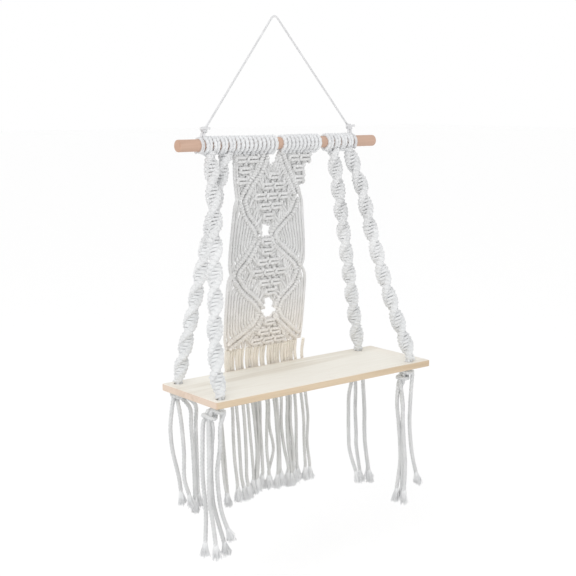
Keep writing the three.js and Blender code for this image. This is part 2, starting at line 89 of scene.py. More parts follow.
# Rows of diagonal hitches, as across and height, from above
ROWS = {
    "upper_left_1": [(-30, -204), (-41.8, -229.3), (-55.5, -246), (-65.5, -261.4), (-71.2, -271)],
    "lower_left_1": [(-71.2, -275), (-62.1, -296.4), (-46.7, -313.6), (-39.1, -327.4)],
    "upper_left_2": [(-39.2, -331), (-49.5, -349), (-61.6, -364.4), (-76.3, -379.5), (-78.7, -387)],
    "lower_left_2": [(-78.6, -391.5), (-64.1, -410.5), (-41, -429.7), (-27.2, -446.5)],
    "last_left": [(-27.4, -451), (-35.5, -465.4), (-46.3, -474.8), (-80, -493.5), (-87, -497)],
    "upper_right_1": [(-1, -204), (3.7, -216.4), (16.3, -237.4), (28.9, -257.2), (33.5, -268)],
    "lower_right_1": [(33.6, -273), (23.4, -294.3), (8.9, -306.9), (-7.3, -322.3), (-10.7, -328.5)],
    "upper_right_2": [(-10.6, -331), (-2.4, -342.2), (17.7, -359.2), (35.9, -373.2), (43.5, -385)],
    "lower_right_2": [(44.6, -390), (36.1, -408.7), (19.5, -424), (10.3, -432.3), (3.3, -446.5)],
    "last_right": [(3.5, -451), (10.1, -463.3), (22.3, -474.2), (44, -492.5), (51, -496.5)],
}
# Rows of square knots, as height, middle and count
KNOT_ROWS = [
    (-211, -66, 2), (-227, -68, 1), (-243, -73, 1), (-211, 35.5, 2), (-227, 35, 1), (-243, 36, 1),
    (-237, -13, 1), (-252.5, -14, 2), (-268, -15.5, 3), (-283.5, -17.5, 2), (-299, -21, 1), (-338, -22, 1),
    (-354, -20, 1), (-370, -17.5, 2), (-386.5, -15, 3), (-403, -12, 2), (-418, -10.5, 1),
    (-467, -9.5, 1), (-482, -10, 2), (-496, -12, 3),
]
KNOT_PITCH = 22.5
# Each row of hitches is two bands, this far to each side of its middle line, with so many places to a turn
HITCH_ASIDE = 4.5
HITCH_PITCH = 4.3
HITCH_SIDES = 8
# Outlines of the close-knotted grounds, as across and height
GROUNDS = [
    [(-90, -198.3), (-14, -198.3), (-31, -205), (-42, -229), (-70, -272), (-80, -268)],
    [(-1, -198.3), (62, -198.3), (47, -219), (41, -256), (35, -270), (16, -237), (0, -205)],
    [(-29, -206), (-19, -219), (-14, -219), (-5, -206), (16, -237), (33, -270), (9, -307),
     (-12, -329), (-19, -311), (-28, -311), (-37, -329), (-62, -296), (-70, -273), (-55, -246)],
    [(-36, -333), (-14, -333), (18, -359), (43, -387), (20, -424), (3, -445),
     (-1, -445), (-7, -428), (-17, -428), (-24, -446), (-27, -446), (-41, -430), (-78, -390), (-62, -364)],
    [(-24, -452), (-17, -460), (-8, -460), (1, -452), (10, -463), (50, -497), (50, -503), (-87, -503),
     (-87, -497), (-46, -475)],
]
# Open cords at the sides: rows left and joined, outer place above and below, way in and count
SIDES = [
    ("lower_left_1", "upper_left_2", -85.5, -90, 1, 9), ("lower_right_1", "upper_right_2", 46.5, 55, -1, 11),
    ("lower_left_2", "last_left", -93, -94, 1, 12), ("lower_right_2", "last_right", 59.5, 57, -1, 11),
]
SIDE_PITCH = 5.2
# The fringe: each loose end's root, its places at the heights and its tip
FRINGE_ROOTS = (-504, -528, -560)
FRINGE_HEIGHTS = (-600, -640, -680, -715)
FRINGE_DEPTH = 24.6
# Gaps between roots, narrowest and widest, behind which one more loose end shows
GAPS_FILLED = (8.5, 14)
LOOSE_ENDS = [
    (-88, (-99, -98.8, -97.3, -94), (-87, -752)), (-86, (-97.5, -94.6, -91, -88), (-85, -754)),
    (-90.5, (-77.7, -76.7, -74.5, -70.1), (-67.1, -750.1)), (-80.1, (-67.8, -64.2, -61.9, -59.1), (-51.3, -752.1)),
    (-69.6, (-56.7, -53.4, -51.4, -50.7), (-44.3, -750.3)), (-58, (-45.7, -42, -38.1, -35.1), (-37.2, -743.5)),
    (-50.6, (-37.9, -32.9, -29.7, -30.5), (-28.1, -742.2)), (-45.8, (-33.5, -30, -28, -30), (-32, -745)),
    (-41.2, (-29.3, -26.8, -26.1, -28.6), (-27.1, -740.7)), (-34, (-21.9, -21.2, -18.4, -16.6), (-21.4, -740.3)),
    (-21.9, (-9.5, -10, -9.8, -5.5), (-9.8, -741.2)), (-16.3, (-4.2, -2.8, 5.4, -4), (-0.5, -739.9)),
    (-8, (5.3, 10.3, 14.5, 13.2), (8.8, -743.6)), (-4, (7.8, 11.5, 15, 15), (14, -746)),
    (-1, (10.3, 13.1, 15.9, 17), (21.3, -741.2)), (9.3, (21.7, 21.5, 27, 35.7), (33.9, -746.6)),
    (19.5, (31.9, 31.4, 34, 40.7), (41.3, -747.3)), (23.6, (35, 35, 39, 43), (45, -748)),
    (26.4, (38.4, 38.5, 43.8, 44.8), (48.7, -743.8)), (37.7, (50, 52.8, 53.1, 54.5), (55.8, -743.6)),
    (47, (61.6, 66.7, 67.7, 70.4), (70, -743.2)), (63.5, (73, 78.1, 76.4, 81.3), (84.3, -744.5)),
]
# Each rope: where it starts, its hole, the turn of its flat side from the front at the start, in degrees, its half
# turns down to the board, its share of the full width, and its bows to the side at shares of its length; then its
# four ends under the board: way back and across at the heights, and tip, all but the heights from the hole
TASSEL_HEIGHTS = (-575, -605, -640, -680, -705)
CORNERS = {
    "front_left": {
        "start": -131.5, "hole": -194, "edge": "front", "spin": -83, "turns": 9.14, "wide": 0.94,
        "bow": [(0, 0), (0.1, 1), (0.25, 2.5), (0.45, 0), (0.6, -2), (0.75, -5), (0.9, -5), (1, 0)],
        "ends": [
            (5, (-26.2, -27.8, -28.2, -24.9, -23.4), (-25.8, -760.5)),
            (-8, (-24.7, -25.9, -26.3, -26, -21.5), (-13.5, -763.3)),
            (6, (-9.6, -11.3, -12.8, -10.8, -5.5), (13.5, -768.1)), (-2, (-1.8, -2.7, -7.9, -4.9, 0.2), (15.5, -745)),
        ],
    },
    "back_left": {
        "start": -104, "hole": -190, "edge": "back", "spin": -140, "turns": 9.5, "wide": 0.86,
        "bow": [(0, 0), (1, 0)],
        "ends": [
            (9, (-6, -9.5, -6.4, 3.3, 7.5), (6.4, -720.7)), (-9, (-4.6, -0.7, 2, 2, 9.2), (14.4, -725.6)),
            (-3, (17.4, 19.5, 22.1, 24, 24.6), (25.3, -738)), (4, (32.3, 32.5, 33.2, 34.3, 34.6), (38.7, -734)),
        ],
    },
    "front_right": {
        "start": 137.5, "hole": 176, "edge": "front", "spin": -61, "turns": 9.24, "wide": 0.96,
        "bow": [(0, 0), (0.08, 1), (0.18, 4), (0.27, 1.5), (0.4, -2.4), (0.6, -3.7), (0.7, -3), (0.85, 0),
                (0.93, 3), (1, 3)],
        "ends": [
            (8, (-10.1, -16.8, -12.4, -8.3, -8), (-17.8, -766.3)), (-8, (-15, -20, -18, -14, -12), (-14.2, -765.9)),
            (-3, (4, 2, 1.4, 6.1, 12), (23.5, -741.7)), (4, (-3, -7.6, -8.1, -6.8, -7), (-6, -761.7)),
        ],
    },
    "back_right": {
        "start": 104.5, "hole": 169, "edge": "back", "spin": -113, "turns": 9.5, "wide": 0.93,
        "bow": [(0, 0), (1, 0)],
        "ends": [
            (-8, (-19, -27, -28, -27, -24), (-4, -759.8)), (8, (2, 2.1, 1.7, 4.1, 5), (17, -768.8)),
            (-2, (8, 11.2, 14, 14.8, 17), (28.8, -768.2)), (5, (13.5, 16.7, 19.5, 20.3, 22.5), (33, -766)),
        ],
    },
}
# How far the knot under each hole lies over and how far it drops on that way
LIES = {"front_left": (22, 26), "front_right": (13, 28), "back_left": (4, 9), "back_right": (7, 12)}
# The way in which those knots lie over, and the way across it
OVER = Vector((-0.778, 0.628, 0))
ACROSS = Vector((0.628, 0.778, 0))


# Shaders

def shader(name):
    material = bpy.data.materials.new(name)
    material.use_nodes = True
    return material, material.node_tree.nodes, material.node_tree.links, material.node_tree.nodes["Principled BSDF"]


def node(nodes, kind, **values):
    made = nodes.new(kind)
    for key, value in values.items():
        if key in made.inputs:
            made.inputs[key].default_value = value
        else:
            setattr(made, key, value)
    return made


def ramp(nodes, stops):
    made = nodes.new("ShaderNodeValToRGB")
    elements = made.color_ramp.elements
    while len(elements) < len(stops):
        elements.new(0.5)
    for element, (at, colour) in zip(elements, stops):
        element.position = at
        element.color = (*colour, 1)
    return made


# Where a Mix node takes its two colours and gives the mixed one
FIRST_COLOUR, SECOND_COLOUR, MIXED_COLOUR = 6, 7, 2
# Heights in metres between which the painted light on a cotton changes: painted shade, and warm painted light from
# the board
PAINTED_LIGHT_HEIGHTS = (("From Min", -0.60), ("From Max", -0.34))


def cotton_shader(name, light, dark, painted_light=None):
    """Soft twisted cotton, matt and finely fibrous, with painted light multiplied in by height, from below to above,
    which darkens it as painted shade and warms it as painted light from the board.
    """
    material, nodes, links, face = shader(name)
    place = nodes.new("ShaderNodeTexCoord")
    broad = node(nodes, "ShaderNodeTexNoise", Scale=60.0, Detail=2.0)
    fine = node(nodes, "ShaderNodeTexNoise", Scale=1100.0, Detail=3.0, Roughness=0.6)
    links.new(place.outputs["Object"], broad.inputs["Vector"])
    links.new(place.outputs["Object"], fine.inputs["Vector"])
    tint = ramp(nodes, [(0.3, dark), (0.7, light)])
    links.new(broad.outputs["Fac"], tint.inputs["Fac"])
    colour = tint.outputs["Color"]
    # Painted shade and warm painted light from the board, multiplied into the colour by height
    if painted_light:
        split = nodes.new("ShaderNodeSeparateXYZ")
        links.new(place.outputs["Object"], split.inputs["Vector"])
        height = nodes.new("ShaderNodeMapRange")
        for socket, value in PAINTED_LIGHT_HEIGHTS:
            height.inputs[socket].default_value = value
        links.new(split.outputs["Z"], height.inputs["Value"])
        painted_light_ramp = ramp(nodes, painted_light)
        links.new(height.outputs["Result"], painted_light_ramp.inputs["Fac"])
        painted_light_mix = node(nodes, "ShaderNodeMix", data_type="RGBA", blend_type="MULTIPLY")
        painted_light_mix.inputs["Factor"].default_value = 1
        links.new(colour, painted_light_mix.inputs[FIRST_COLOUR])
        links.new(painted_light_ramp.outputs["Color"], painted_light_mix.inputs[SECOND_COLOUR])
        colour = painted_light_mix.outputs[MIXED_COLOUR]
    links.new(colour, face.inputs["Base Color"])
    bump = node(nodes, "ShaderNodeBump", Strength=0.4, Distance=0.0005)
    links.new(fine.outputs["Fac"], bump.inputs["Height"])
    links.new(bump.outputs["Normal"], face.inputs["Normal"])
    face.inputs["Roughness"].default_value = 0.95
    face.inputs["Specular IOR Level"].default_value = 0.15
    return material


def wood_shader(name, pale, streak, end, edge, figure):
    """Wood cut along X: broad soft streaks, fine pores, an end-grain tint on its ends, and on its long edges a tint
    that is partly the wood's and partly painted shade.
    """
    material, nodes, links, face = shader(name)
    place = nodes.new("ShaderNodeTexCoord")
    long = node(nodes, "ShaderNodeMapping")
    long.inputs["Scale"].default_value = figure
    links.new(place.outputs["Object"], long.inputs["Vector"])
    broad = node(nodes, "ShaderNodeTexNoise", Scale=1.0, Detail=3.0, Distortion=0.5)
    links.new(long.outputs["Vector"], broad.inputs["Vector"])
    grain = ramp(nodes, [(0.38, pale), (0.52, pale), (0.62, streak), (0.72, pale)])
    links.new(broad.outputs["Fac"], grain.inputs["Fac"])
    thin = node(nodes, "ShaderNodeMapping")
    thin.inputs["Scale"].default_value = (6, 260, 260)
    links.new(place.outputs["Object"], thin.inputs["Vector"])
    fine = node(nodes, "ShaderNodeTexNoise", Scale=4.0, Detail=4.0)
    links.new(thin.outputs["Vector"], fine.inputs["Vector"])
    dots = ramp(nodes, [(0.35, (0.8, 0.75, 0.68)), (0.6, (1, 1, 1))])
    links.new(fine.outputs["Fac"], dots.inputs["Fac"])
    pores = node(nodes, "ShaderNodeMix", data_type="RGBA", blend_type="MULTIPLY")
    pores.inputs["Factor"].default_value = 0.25
    links.new(grain.outputs["Color"], pores.inputs[FIRST_COLOUR])
    links.new(dots.outputs["Color"], pores.inputs[SECOND_COLOUR])
    colour = pores.outputs[MIXED_COLOUR]
    side = nodes.new("ShaderNodeSeparateXYZ")
    links.new(place.outputs["Normal"], side.inputs["Vector"])
    # Ends take an end-grain tint; long edges take a tint that is partly the wood's and partly painted shade
    for axis, tint in (("X", end), ("Y", edge)):
        facing = node(nodes, "ShaderNodeMath", operation="ABSOLUTE")
        links.new(side.outputs[axis], facing.inputs[0])
        cut = node(nodes, "ShaderNodeMix", data_type="RGBA", blend_type="MULTIPLY")
        links.new(facing.outputs["Value"], cut.inputs["Factor"])
        links.new(colour, cut.inputs[FIRST_COLOUR])
        cut.inputs[SECOND_COLOUR].default_value = (*tint, 1)
        colour = cut.outputs[MIXED_COLOUR]
    links.new(colour, face.inputs["Base Color"])
    bump = node(nodes, "ShaderNodeBump", Strength=0.12, Distance=0.0004)
    links.new(fine.outputs["Fac"], bump.inputs["Height"])
    links.new(bump.outputs["Normal"], face.inputs["Normal"])
    face.inputs["Roughness"].default_value = 0.6
    face.inputs["Specular IOR Level"].default_value = 0.25
    return material


cotton = cotton_shader("cotton", (0.85, 0.86, 0.87), (0.78, 0.785, 0.795))
# The ropes' cotton carries painted shade, slight above and deeper towards the board
rope_cotton_painted_shade = cotton_shader("rope_cotton_painted_shade", (0.86, 0.865, 0.87), (0.79, 0.795, 0.80), [
    (0.2, (0.90, 0.905, 0.905)), (0.5, (0.90, 0.905, 0.905)), (1.0, (0.96, 0.96, 0.96))])
thin_cotton = cotton_shader("thin_cotton", (0.80, 0.80, 0.81), (0.72, 0.72, 0.73))
tassel_cotton = cotton_shader("tassel_cotton", (0.76, 0.765, 0.765), (0.69, 0.695, 0.695))
frayed_cotton = cotton_shader("frayed_cotton", (0.93, 0.935, 0.94), (0.88, 0.885, 0.89))
# The panel's cotton is darker than the loops' as painted shade, darker again at its top, with warm painted light from
# the board near its foot
panel_cotton_painted_shade_and_light = cotton_shader("panel_cotton_painted_shade_and_light", (0.81, 0.81, 0.81), (0.74, 0.74, 0.735), [
    (0.14, (1, 1, 1)), (0.3, (1.10, 1.03, 0.96)), (0.45, (1.10, 1.05, 0.99)), (0.68, (1.03, 1.02, 1.01)),
    (1.0, (0.96, 0.96, 0.96))])
# The fringe's cotton takes warm painted light from the board where it hangs beside the board
fringe_cotton_painted_light = cotton_shader("fringe_cotton_painted_light", (0.74, 0.74, 0.725), (0.66, 0.66, 0.645), [
    (0.14, (1, 1, 1)), (0.27, (1.32, 1.24, 1.14)), (0.45, (1.32, 1.24, 1.14))])
# The pine's long edges are tan partly from the wood and partly as painted shade
pine = wood_shader("pine", (0.87, 0.845, 0.78), (0.76, 0.72, 0.64), (0.84, 0.71, 0.64), (0.78, 0.65, 0.51),
                   (1.4, 24, 24))
rod = wood_shader("rod", (0.58, 0.40, 0.31), (0.52, 0.35, 0.27), (0.95, 0.9, 0.86), (1, 1, 1), (5, 60, 60))


# Cords

def outline(name, radii):
    """A closed outline of unit size, which curves use as their section."""
    curve = bpy.data.curves.new(name, "CURVE")
    spline = curve.splines.new("POLY")
    spline.points.add(len(radii) - 1)
    spline.use_cyclic_u = True
    for k, radius in enumerate(radii):
        angle = 2 * math.pi * k / len(radii)
        spline.points[k].co = (radius * math.cos(angle), radius * math.sin(angle), 0, 1)
    made = bpy.data.objects.new(name, curve)
    scene.collection.objects.link(made)
    return made


plies = outline("plies", [1, 0.93, 0.76, 0.93] * 3)
soft_plies = outline("soft_plies", [1, 0.97, 0.9, 0.97] * 3)
fibre = outline("fibre", [1, 1, 1])
# The turn of each cord's plies from those of the cord before, in radians
TURNED_ON = 1.7


def smooth(points, step):
    """Evenly spaced places on a smooth curve through the points."""
    places = [Vector(point) for point in points]
    held = [places[0] * 2 - places[1], *places, places[-1] * 2 - places[-2]]
    fine = []
    for a, b, c, d in zip(held, held[1:], held[2:], held[3:]):
        parts = max(2, math.ceil((c - b).length / step * 2))
        for i in range(parts):
            t = i / parts
            fine.append(0.5 * (2 * b + (c - a) * t + (2 * a - 5 * b + 4 * c - d) * t ** 2
                               + (3 * b - a - 3 * c + d) * t ** 3))
    fine.append(places[-1])
    reached = [0.0]
    for a, b in zip(fine, fine[1:]):
        reached.append(reached[-1] + (b - a).length)
    count = max(1, round(reached[-1] / step))
    even, j = [], 0
    for k in range(count + 1):
        target = reached[-1] * k / count
        while j < len(fine) - 2 and reached[j + 1] < target:
            j += 1
        span = reached[j + 1] - reached[j]
        even.append(fine[j].lerp(fine[j + 1], (target - reached[j]) / span if span else 0))
    return even


def lay_cords(name, paths, radius, material, step=2.2, lay=16, section=plies, taper=0):
    """A piece of cords along the paths, in millimetres, plied once round to a lay and finer to the end by taper."""
    curve = bpy.data.curves.new(name, "CURVE")
    curve.dimensions = "3D"
    curve.bevel_mode = "OBJECT"
    curve.bevel_object = section
    curve.use_fill_caps = True
    for number, path in enumerate(paths):
        places = smooth(path, step)
        spline = curve.splines.new("POLY")
        spline.points.add(len(places) - 1)
        spline.use_smooth = True
        for k, place in enumerate(places):
            point = spline.points[k]
            point.co = (*((place - Vector((0, AHEAD, 0))) * MM), 1)
            point.tilt = TURNED_ON * number + 2 * math.pi * k * step / lay
            point.radius = radius * MM * (1 - taper * k / len(places))
    holder = bpy.data.objects.new(name, curve)
    scene.collection.objects.link(holder)
    bpy.context.view_layer.update()
    mesh = bpy.data.meshes.new_from_object(holder.evaluated_get(bpy.context.evaluated_depsgraph_get()))
    bpy.data.objects.remove(holder)
    return finish_piece(name, mesh, material)


def finish_piece(name, mesh, material):
    """The mesh as a smooth piece with its faces outwards."""
    mesh.name = name
    shape = bmesh.new()
    shape.from_mesh(mesh)
    bmesh.ops.recalc_face_normals(shape, faces=shape.faces)
    shape.to_mesh(mesh)
    shape.free()
    mesh.materials.clear()
    mesh.materials.append(material)
    mesh.polygons.foreach_set("use_smooth", [True] * len(mesh.polygons))
    made = bpy.data.objects.new(name, mesh)
    scene.collection.objects.link(made)
    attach(made, "root")
    return made


def frays(tips, spread, length, count, seed):
    """Fine fibres that open out from each tip, given as a place and a direction."""
    rng = random.Random(seed)
    paths = []
    for place, way in tips:
        along = Vector(way).normalized()
        out = along.orthogonal().normalized()
        for k in range(count):
            reach = math.sqrt((k + 0.5) / count)
            side = Matrix.Rotation(2.4 * k, 3, along) @ out
            start = Vector(place) + side * reach * 2.2 - along * 3
            wide = side * reach * spread * rng.uniform(0.6, 1.15)
            far = length * rng.uniform(0.72, 1.08)
            stray = Vector((rng.uniform(-0.8, 0.8), rng.uniform(-0.8, 0.8), 0))
            paths.append([start, start + along * far * 0.5 + wide * 0.4, start + along * far + wide + stray])
    return paths


def frayed_from(last, tip, length):
    """The place above the tip, on the way to it, where the cord starts to fray."""
    return last.lerp(tip, max(0.1, 1 - length / (last - tip).length))


def brushes(tips, length):
    """The way of each frayed tip, from a little inside the cord."""
    paths = []
    for place, way in tips:
        along = Vector(way).normalized()
        paths.append([
            Vector(place) - along * 2, Vector(place) + along * length * 0.5, Vector(place) + along * length,
        ])
    return paths


# The hanging cord, over the nail from knot to knot, leaning back from the dowel to the nail

def hanger_places(parts=12):
    """The cord's way up from the left, round the nail and down, each in as many parts, found in its own plane."""
    lean = math.atan2(AHEAD, -HANGER["end_z"])
    middle = HANGER["radius"] - HANGER["bend"]
    end = HANGER["end_z"] / math.cos(lean)
    rises = []
    for x in (HANGER["left"], HANGER["right"]):
        reach = math.hypot(x, end - middle)
        rises.append(math.atan2(abs(x), end - middle) - math.acos(HANGER["bend"] / reach))
    bend = []
    for k in range(parts + 1):
        angle = -rises[0] + (rises[0] + rises[1]) * k / parts
        bend.append((HANGER["bend"] * math.sin(angle), middle + HANGER["bend"] * math.cos(angle)))
    (first_x, first_s), (last_x, last_s) = bend[0], bend[-1]
    rise = [(HANGER["left"] + (first_x - HANGER["left"]) * k / parts, end + (first_s - end) * k / parts)
            for k in range(parts)]
    fall = [(last_x + (HANGER["right"] - last_x) * k / parts, last_s + (end - last_s) * k / parts)
            for k in range(1, parts + 1)]
    return [Vector((x, AHEAD + s * math.sin(lean), s * math.cos(lean))) for x, s in (*rise, *bend, *fall)]


route = hanger_places()
hanger = lay_cords("hanger_cord_laid", [route], HANGER["radius"], thin_cotton, step=1.4, lay=9, section=soft_plies)
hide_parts("hanger_cord")


# Turns on the dowel

def round_dowel(x, angle, radius):
    """A place at an angle from the top of the dowel, towards the front."""
    turn = math.radians(angle)
    return (x, -radius * math.sin(turn), DOWEL["z"] + radius * math.cos(turn))


def larks_head(x0, x1, ends, radius=ROUND["rope"], pinch=0):
    """A doubled cord over the dowel, with its bar behind, down to the two places in ends; its front is pinched."""
    def turn(x, way, angle):
        return round_dowel(x + way * pinch * max(0, math.sin(math.radians(angle - 20))) ** 2, angle, radius)

    first = [turn(x0, 1, angle) for angle in (165, 135, 100, 60, 20, -20, -60, -100, -135)]
    bar = [round_dowel(x0 + (x1 - x0) * share, -160, ROUND["bar"]) for share in (0.2, 0.8)]
    second = [turn(x1, -1, angle) for angle in (-135, -100, -60, -20, 20, 60, 100, 135, 165)]
    down = [(x * 0.6 + end[0] * 0.4, -1.5, -200.5) for x, end in ((x0, ends[0]), (x1, ends[1]))]
    return [ends[0], down[0], *first, *bar, *second, down[1], ends[1]]


def turn_places(group, turns):
    """Even places on the dowel for the turns of a rope or of half the panel."""
    start, end = GROUPS[group]
    return [start + (end - start) * (k + 0.5) / turns for k in range(turns)]


# The four spiral ropes

def hole_of(corner):
    """The middle of a corner's hole, across and back."""
    inset = HOLE["from_edge"] if CORNERS[corner]["edge"] == "back" else BOARD["depth"] - HOLE["from_edge"]
    return CORNERS[corner]["hole"], BOARD["back"] - inset


def in_hole(k):
    """Where the rope's cord k stands in its hole, from the middle."""
    angle = math.pi * (0.25 + 0.5 * k)
    return 3.2 * math.cos(angle), 3.2 * math.sin(angle)


# A worker's way across one face of a rope, as right, front and down in the rope's own turned frame; the way
# across the other face is the same, turned half round
CROSSING = [
    (-9.9, 0, -2.6), (-8.3, -4.4, -1.8), (-9.6, -1.2, -0.5), (-6.6, 2.2, -0.1), (-3.3, 3.5, 0.1),
    (3.3, 3.5, 0.5), (6.4, 1.6, 0.9), (8.8, -1.8, 1.5), (8.1, -4.6, 2.3),
]


def bowed(bow, share):
    """The way to the side at a share of the rope's length."""
    for (a, x), (b, y) in zip(bow, bow[1:]):
        if share <= b:
            part = max(0, (share - a) / (b - a))
            return x + (y - x) * part * part * (3 - 2 * part)
    return bow[-1][1]


def rope_paths(corner):
    """The four cords down to the hole, and the workers' rounded turns along the edges of both faces."""
    hole_x, hole_y = hole_of(corner)
    start = Vector((CORNERS[corner]["start"], -1, ROPE_TOP))
    end = Vector((hole_x, hole_y, BOARD["top"] + 4.5))
    travel = end - start
    along = travel.normalized()
    last = LOBES * HALF_KNOTS
    level = travel.length / last
    front = Vector((0, -1, 0))
    front = (front - along * front.dot(along)).normalized()
    spin = math.radians(CORNERS[corner]["spin"])
    twist = math.pi * CORNERS[corner]["turns"] / travel.length

    def place(right, ahead, down):
        facing = Matrix.Rotation(spin + twist * down, 3, along) @ front
        right *= CORNERS[corner]["wide"] * min(1, 0.5 + (travel.length - down) / (8 * level))
        aside = bowed(CORNERS[corner]["bow"], down / travel.length)
        return start + along * down + facing.cross(along) * right + facing * ahead + Vector((aside, 0, 0))

    paths = []
    for worker in (0, 1):
        path = []
        for k in range(last):
            side = 1 if (k + worker) % 2 else -1
            path += [place(side * right, side * -ahead, (k + 0.9) * level + down)
                     for right, ahead, down in CROSSING]
        paths.append(path)
    for side in (-1, 1):
        paths.append([place(side * 2.5, 0, level * k) for k in range(0, last + 1, 2)])
    for k, path in enumerate(paths):
        dx, dy = in_hole(k)
        path.append((hole_x + dx, hole_y + dy, BOARD["top"] + 1))
        path.append((hole_x + dx, hole_y + dy, BOARD["top"] - BOARD["thickness"] - 1))
    rails = [[place(side * (RAIL["aside"] + RAIL["uneven"] * (-1) ** k), face * RAIL["ahead"], level * k)
              for k in range(last - 1)] for side in (-1, 1) for face in (-1, 1)]
    return paths, rails


def rope_loops(corner, paths):
    """The mounting loops, down to the tops of the rope's four cords."""
    turns = turn_places(corner, 4)
    tops = sorted((Vector(path[0]) for path in paths), key=lambda top: top.x)
    return [larks_head(turns[k], turns[k + 1], tops[k:k + 2], pinch=0.9) for k in (0, 2)]


for corner in CORNERS:
    paths, rails = rope_paths(corner)
    knotted = lay_cords(f"rope_{corner}_knotted", paths, RADIUS["worker"], rope_cotton_painted_shade, step=1.9)
    edges = lay_cords(f"rope_{corner}_edges", rails, RADIUS["rope_edge"], rope_cotton_painted_shade, step=1.9)
    loops = lay_cords(f"rope_{corner}_loops", rope_loops(corner, paths), RADIUS["rope_loop"], cotton, step=1.9)
    for piece in (knotted, edges, loops):
        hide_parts(f"rope_{corner}")


# The panel

def on_panel(x, ahead, z):
    """A place on the panel, ahead of its middle plane."""
    return Vector((x, -ahead + max(0, PANEL_TOP - z) * LEAN, z))


def square_knot(x, z):
    """The two workers of a square knot, a and b, round its two fillers, each as right, ahead and down."""
    a = [
        (-8.7, 0, -7.8), (-9.6, -3, -5.2), (-9.9, -0.2, -3.9), (-7.8, 2.8, -3.2), (-4.5, 4.2, -3), (4.5, 4.2, -2.7),
        (7.6, 1.8, -2.4), (9.2, -2.6, -1.6), (10.3, -0.6, 0.2), (9.9, 0.4, 1.8), (7.8, 2.8, 2.6), (4.5, 4.2, 2.8),
        (-4.5, 4.2, 3.1), (-7.6, 1.8, 3.5), (-9.4, -2.6, 4.4), (-8.7, 0, 7.8),
    ]
    b = [
        (8.7, 0, -7.8), (9.4, 3.6, -5), (9.9, 0.4, -3.3), (4, -4, -3), (-4, -4, -2.7), (-8, -1.4, -2.4),
        (-9.4, 3.7, -1.4), (-9.6, 3.7, 1.2), (-9.9, 0.4, 2.5), (-4, -4, 2.8), (4, -4, 3.1), (8, -1.4, 3.4),
        (9.3, 3.6, 4.6), (8.7, 0, 7.8),
    ]
    fillers = [[(side * 1.6, 0.6, -8.6), (side * 2.5, 0.8, 0), (side * 1.6, 0.6, 8.6)] for side in (-1, 1)]
    return [[on_panel(x + right, ahead, z - down) for right, ahead, down in path] for path in (a, b, *fillers)]


lines = {name: smooth([(x, 0, z) for x, z in row], 1.5) for name, row in ROWS.items()}


def at_share(line, share):
    """The place at a share of a row's length."""
    spot = min(max(share, 0), 1) * (len(line) - 1)
    k = min(int(spot), len(line) - 2)
    return line[k].lerp(line[k + 1], spot - k)


def hitch_band(line, offset):
    """A row of hitches round its leader, on one side of the middle line."""
    turns = round(sum((b - a).length for a, b in zip(line, line[1:])) / HITCH_PITCH)
    path = []
    for k in range(turns * HITCH_SIDES + 1):
        share = k / (turns * HITCH_SIDES)
        angle = 2 * math.pi * k / HITCH_SIDES
        along = (at_share(line, share + 0.03) - at_share(line, share - 0.03)).normalized()
        flat = at_share(line, share) + Vector((along.z, 0, -along.x)) * (offset + 1.5 * math.sin(angle))
        path.append(on_panel(flat.x, 1.2 + 2.7 * math.cos(angle), flat.z))
    return path


def knot_flanks(row, side):
    """Cords that run nearly upright between the outer knot of a row and the hitches above or below it."""
    z, middle, count = row
    edge = middle + side * ((count - 1) / 2 * KNOT_PITCH + 9)
    paths = []
    for k in range(4):
        x = edge + side * (4.8 * k - 2)
        met = [a.z for line in lines.values() for a, b in zip(line, line[1:]) if (a.x - x) * (b.x - x) <= 0]
        for way in (-1, 1):
            near = [height for height in met if 5 < way * (height - z) < 34]
            if near:
                far = min(near, key=lambda height: abs(height - z))
                end = z + way * (6.5 - 2.6 * k)
                paths.append([on_panel(x, 0.4, far), on_panel(x - side * 0.6 * k, 1.3, (far + end) / 2),
                              on_panel(edge - side * (1 - 0.8 * k), 0.8, end)])
    return paths


def inside_spans(polygon, x):
    """The heights between which an upright line at x is inside the polygon."""
    cuts = []
    for (x0, z0), (x1, z1) in zip(polygon, polygon[1:] + polygon[:1]):
        if (x0 - x) * (x1 - x) < 0:
            cuts.append(z0 + (z1 - z0) * (x - x0) / (x1 - x0))
    cuts.sort(reverse=True)
    return zip(cuts[::2], cuts[1::2])


def ground_cords(polygon, pitch=5.0):
    """Upright cords across an outline, waved by turns to the left and to the right."""
    paths = []
    x = min(point[0] for point in polygon) + 2.4
    way = 1
    while x < max(point[0] for point in polygon):
        for top, bottom in inside_spans(polygon, x):
            if top - bottom > 3:
                parts = max(2, round((top - bottom) / 3.9))
                heights = [top + (bottom - top) * k / parts for k in range(parts + 1)]
                paths.append([on_panel(x + way * 1.2 * math.sin(z * 0.405), -1.5, z) for z in heights])
        x += pitch
        way = -way
    return paths


def side_cords(leaves, joins, above, below, inward, count):
    """Open cords at one side; the outer two come past the ends of the rows of hitches."""
    paths = []
    for k in range(count):
        share = (k + 0.3) / count * 0.95
        past = max(0, 2 - k)
        first, last = at_share(lines[leaves], share), at_share(lines[joins], 1 - share)
        first = first + Vector((-inward * 3.6 * past, 0, 4 * past))
        last = last - Vector((inward * 2.6 * past, 0, 3 * past))
        fall = (first.z - last.z) * 0.2
        sway = 0.5 * math.sin(2.3 * k + above)
        upper, lower = above + inward * SIDE_PITCH * k, below + inward * SIDE_PITCH * k
        paths.append([
            on_panel(first.x, 0, first.z), on_panel(first.x * 0.4 + upper * 0.6, 0.3, first.z - fall * 0.3),
            on_panel(upper, 0.5 + sway, first.z - fall), on_panel(lower, 0.5 - sway, last.z + fall),
            on_panel(last.x, 0, last.z),
        ])
    return paths


